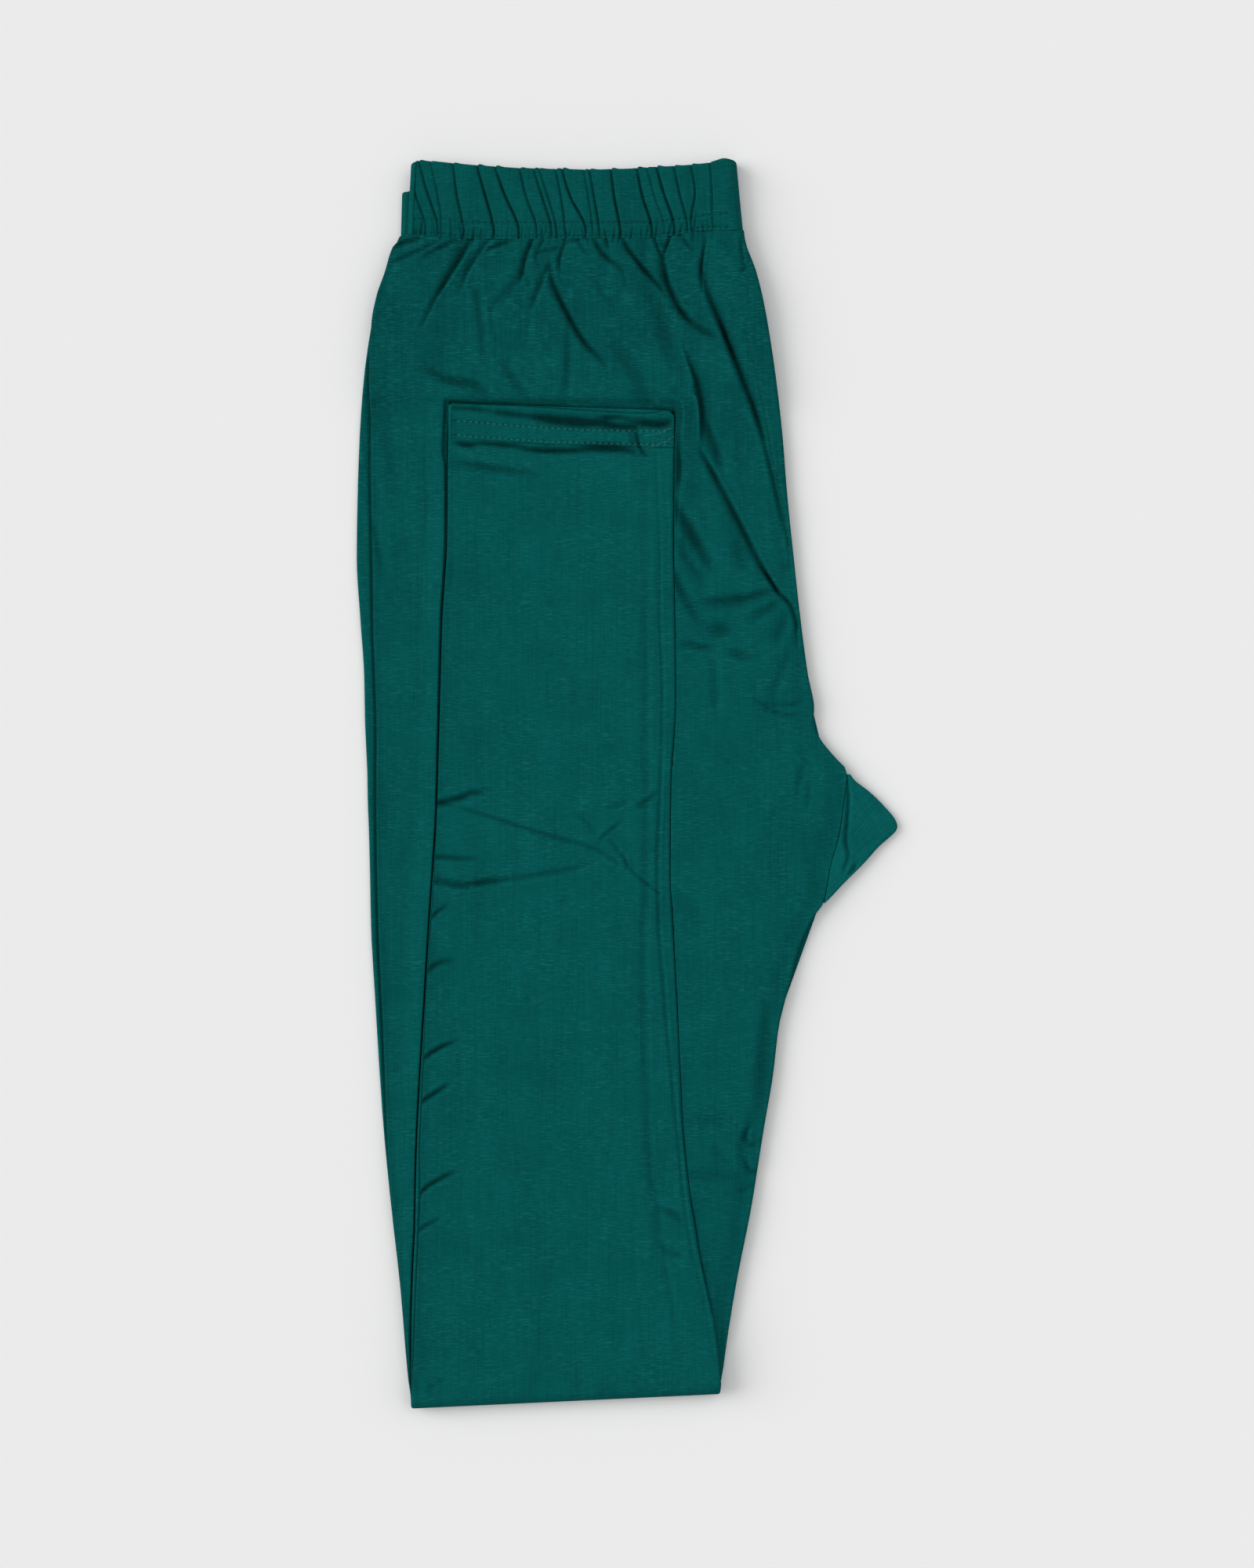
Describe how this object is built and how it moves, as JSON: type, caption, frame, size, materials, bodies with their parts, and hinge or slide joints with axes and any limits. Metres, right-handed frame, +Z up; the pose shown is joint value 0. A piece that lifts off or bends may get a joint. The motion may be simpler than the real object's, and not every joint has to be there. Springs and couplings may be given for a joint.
{
  "type": "leggings",
  "caption": "Plain jersey leggings with a gathered elastic waistband, folded in half lengthwise with the lower legs folded up at the knee over the front.",
  "frame": {"origin": "on the surface that the leggings lie on, under the middle of their outline", "axes": "+Y along the legs to the waistband, +X across to the side with the gusset, +Z up"},
  "size_m": [0.2352, 0.5419, 0.0111],
  "materials": {
    "leg_jersey": "soft teal jersey with fine paler slubs that run across the leg",
    "waistband_jersey": "the same teal jersey, gathered over elastic, with two rows of stitches",
    "gusset_jersey": "the same teal jersey cut on the bias, a little paler"
  },
  "bodies": {
    "root": {"far_leg": "leg_jersey", "near_leg": "leg_jersey", "waistband": "waistband_jersey", "gusset": "gusset_jersey", "far_hem": "leg_jersey", "near_hem": "leg_jersey"}
  },
  "joints": []
}
